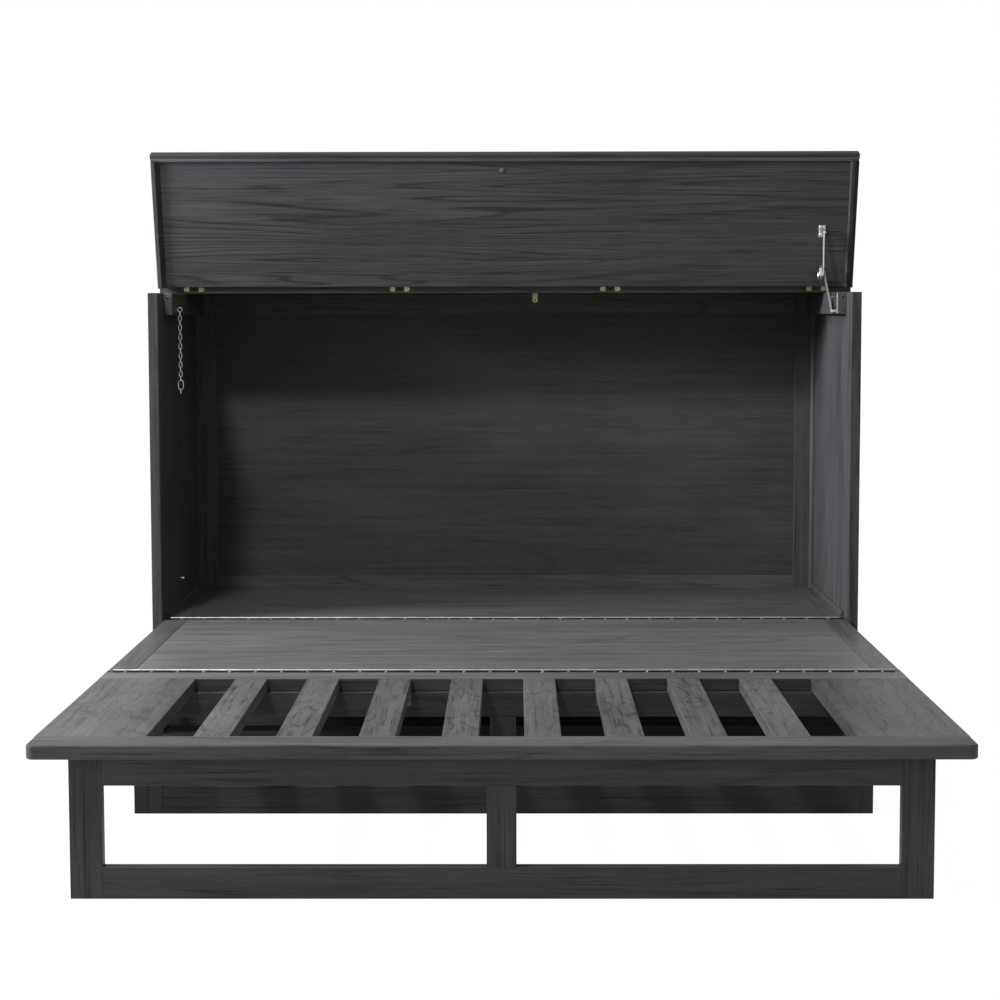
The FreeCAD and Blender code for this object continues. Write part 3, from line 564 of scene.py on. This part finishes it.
# A domed cap over the rivet, a ring groove, and a rim with notches for the fingers.
disc_profile = ((0.0009, 0.0000), (0.0006, 0.0022), (0.0012, 0.0030), (0.0012, 0.0040),
                (0.0000, 0.0052), (0.0000, 0.0098), (0.0009, 0.0106), (0.0009, 0.0148),
                (0.0000, 0.0156), (0.0000, 0.0184), (0.0004, 0.0195), (0.0016, 0.0200),
                (0.0054, 0.0200), (0.0066, 0.0195), (0.0070, 0.0184), (0.0070, 0.0075),
                (0.0076, 0.0070), (0.0098, 0.0070), (0.0098, 0.0000))
disc_steps, notches = 72, 12
rim_radius, notch_depth = 0.0195, 0.0006


def finger_notch(radius, step):
    """How deep the disc's rim is cut at one of its steps."""
    cut = radius >= rim_radius and step % (disc_steps // notches) < 2
    return notch_depth if cut else 0.0


elbow = (0.735, 0.6504, 1.0446)
world_axes = ((1, 0, 0), (0, 1, 0), (0, 0, 1))
disc_shell = bmesh.new()
turned(disc_shell, elbow, world_axes, disc_steps, disc_profile, finger_notch)
bmesh.ops.recalc_face_normals(disc_shell, faces=disc_shell.faces[:])
disc = new_piece("brake_disc", disc_shell, bright, "stay_upper")
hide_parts("stay_brake_disc")

# ---- Screws in the chest ----
# Recessed round heads: three bright ones in the stay's plate and a dark one in the front end
# of each cleat. A short round-nosed pin stands in the left side panel.

fittings = bmesh.new()
round_head = (0.0035, 0.0012, 0.0008)
screw_level = 0.9905
bracket_face = 0.7555
cleat_middle, cleat_front = 0.7675, 0.491
for y, z in ((0.499, screw_level), (0.566, screw_level), (0.566, 0.960)):
    screw_head(fittings, (bracket_face, y, z), (-1, 0, 0), *round_head)
bright_faces = len(fittings.faces)
for x in (-cleat_middle, cleat_middle):
    screw_head(fittings, (x, cleat_front, screw_level), (0, -1, 0), *round_head)
for face in list(fittings.faces)[bright_faces:]:
    face.material_index = 1
pin_seat = (-0.7775, 0.705, 0.322)
pin_nose = ((0.0, 0.0035), (0.0066, 0.0035), (0.0076, 0.0028), (0.0080, 0.0014))
turned(fittings, pin_seat, world_axes, 24, pin_nose)
fittings.normal_update()
chest_screws = new_piece("chest_screws", fittings, bright, "cabinet")
chest_screws.data.materials.append(blackened)
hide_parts("cabinet_screws")

# ---- Safety chain ----
# Welded oval links of bright steel wire that hang from a screw eye in the left cleat, with a
# larger ring and a last link at the end.

for node in ("chain_eye", "safety_chain", "chain_snap"):
    finish_node(node, bright)

# ---- Lid bumper ----
# A small grey rubber dome stuck in the middle of the lid's underside. The folded panel's edge
# meets it when the lid is closed.

bumper_stuff = bpy.data.materials.new("bumper_rubber")
bumper_stuff.use_nodes = True
tree = bumper_stuff.node_tree
tree.nodes.clear()
dust = grain_noise(tree, cut_from_log(tree, 0, 300, 300, (0, 0, 0)), 3.0, 0.6)
tint = colour_ramp(tree, dust, ((0.0, (0.050, 0.050, 0.048)), (1.0, (0.090, 0.090, 0.086))))
soft = tree.nodes.new("ShaderNodeBsdfPrincipled")
soft.inputs["Specular IOR Level"].default_value = 0.25
tree.links.new(tint.outputs["Color"], soft.inputs["Base Color"])
tree.links.new(sum_of(tree, 0.25, dust, 0.3), soft.inputs["Roughness"])
link_shader(tree, soft.outputs["BSDF"])

bumper_shell = bmesh.new()
bumper_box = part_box("lid_bumper")
bumper_middle = Vector([(low + high) / 2 for low, high in zip(*bumper_box)])
bumper_height = 0.0025
outward, upward = Vector((0, lean_z, -lean_y)), Vector((0, lean_y, lean_z))
seat = bumper_middle - outward * bumper_height / 2
dome = ((0.0, 0.0060), (0.0008, 0.0060), (0.0016, 0.0052), (0.0022, 0.0036), (bumper_height, 0.0016))
turned(bumper_shell, seat, (outward, (1, 0, 0), upward), 40, dome)
bmesh.ops.recalc_face_normals(bumper_shell, faces=bumper_shell.faces[:])
bumper = new_piece("domed_bumper", bumper_shell, bumper_stuff, "lid")
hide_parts("lid_bumper")

# ---- Studio ----
# A pale seamless floor, a small key lamp high at the front left, a large window lamp at the
# left, and a weak light from all round. What the camera and polished metal see of the room is
# white.


def seen_share(tree):
    """1 for what the camera, polished metal or glass sees, 0 for the light that falls on things."""
    rays = tree.nodes.new("ShaderNodeLightPath").outputs
    polished = maths(tree, "MAXIMUM", rays["Is Glossy Ray"], rays["Is Transmission Ray"])
    return maths(tree, "MAXIMUM", rays["Is Camera Ray"], polished)


# The floor is white where it is seen and lies open. Under the bed, where most of what lies above and
# ahead of it is shut in, a painted shadow makes it dark, in its own colour and in what the camera sees.
open_grey, shadow_grey = 0.34, 0.015
open_white, shadow_white = 0.93, 0.006
floor_stuff = bpy.data.materials.new("studio_floor")
floor_stuff.use_nodes = True
tree = floor_stuff.node_tree
tree.nodes.clear()
matte = tree.nodes.new("ShaderNodeBsdfDiffuse")
glow = tree.nodes.new("ShaderNodeEmission")
glow.inputs["Color"].default_value = (1, 1, 1, 1)
glow.inputs["Strength"].default_value = 1.06
apart = position(tree)[1]
past_middle = map_range(tree, apart["Y"], 0.02, 0.12, soft=True)
before_back = map_range(tree, apart["Y"], 1.10, 0.95, soft=True)
between_sides = map_range(tree, maths(tree, "ABSOLUTE", apart["X"]), 0.835, 0.800, soft=True)
beneath = maths(tree, "MULTIPLY", maths(tree, "MULTIPLY", past_middle, before_back), between_sides)
overhang = tree.nodes.new("ShaderNodeAmbientOcclusion")
overhang.samples = 32
overhang.inputs["Distance"].default_value = 0.9
forward = tree.nodes.new("ShaderNodeCombineXYZ")
forward.inputs["Y"].default_value = -0.6
forward.inputs["Z"].default_value = 0.8
tree.links.new(forward.outputs["Vector"], overhang.inputs["Normal"])
shut_in = map_range(tree, overhang.outputs["AO"], 0.76, 0.62, soft=True)
painted_floor_shadow = maths(tree, "MULTIPLY", beneath, shut_in)
tree.links.new(map_range(tree, painted_floor_shadow, 0.0, 1.0, open_grey, shadow_grey), matte.inputs["Color"])
white = map_range(tree, painted_floor_shadow, 0.0, 1.0, open_white, shadow_white)
share = maths(tree, "MULTIPLY", seen_share(tree), white)
both = tree.nodes.new("ShaderNodeMixShader")
tree.links.new(share, both.inputs["Fac"])
tree.links.new(matte.outputs["BSDF"], both.inputs[1])
tree.links.new(glow.outputs["Emission"], both.inputs[2])
link_shader(tree, both.outputs["Shader"])

floor_shell = bmesh.new()
bmesh.ops.create_grid(floor_shell, x_segments=2, y_segments=2, size=40.0)
floor_mesh = bpy.data.meshes.new("studio_floor")
floor_shell.to_mesh(floor_mesh)
floor_shell.free()
floor_mesh.materials.append(floor_stuff)
floor = bpy.data.objects.new("studio_floor", floor_mesh)
floor.location = (0, 0, -0.0005)
bpy.context.collection.objects.link(floor)

room = bpy.data.worlds.new("studio_room")
bpy.context.scene.world = room
room.use_nodes = True
tree = room.node_tree
tree.nodes.clear()
# The room's light comes most from above, from the left and from behind.
way = tree.nodes.new("ShaderNodeTexCoord")
parts = tree.nodes.new("ShaderNodeSeparateXYZ")
tree.links.new(way.outputs["Generated"], parts.inputs["Vector"])
overhead = map_range(tree, parts.outputs["Z"], 0.0, 1.0, 0.14, 0.75)
windows = map_range(tree, parts.outputs["X"], -1.0, 1.0, 1.50, 0.50)
rear_wall = map_range(tree, parts.outputs["Y"], 0.0, 1.0, 0.0, 0.45)
strength = tree.nodes.new("ShaderNodeMix")
strength.inputs["B"].default_value = 1.0
tree.links.new(seen_share(tree), strength.inputs["Factor"])
tree.links.new(maths(tree, "MULTIPLY_ADD", overhead, windows, rear_wall), strength.inputs["A"])
sky = tree.nodes.new("ShaderNodeBackground")
sky.inputs["Color"].default_value = (1.0, 1.0, 1.0, 1)
tree.links.new(strength.outputs["Result"], sky.inputs["Strength"])
out = tree.nodes.new("ShaderNodeOutputWorld")
tree.links.new(sky.outputs["Background"], out.inputs["Surface"])


def soft_lamp(name, place, aim, size, power, colour):
    """A square area lamp that faces a point."""
    data = bpy.data.lights.new(name, "AREA")
    data.shape = "SQUARE"
    data.size = size
    data.energy = power
    data.color = colour
    lamp = bpy.data.objects.new(name, data)
    lamp.location = place
    lamp.rotation_euler = (Vector(aim) - Vector(place)).to_track_quat("-Z", "Y").to_euler()
    bpy.context.collection.objects.link(lamp)


soft_lamp("key_lamp", (-1.15, -1.55, 3.0), (0.0, 0.1, 0.5), 0.30, 64, (1.0, 0.99, 0.97))
soft_lamp("window_lamp", (-3.3, -0.55, 2.00), (0.75, 0.72, 0.6), 0.9, 232, (0.87, 0.94, 1.0))
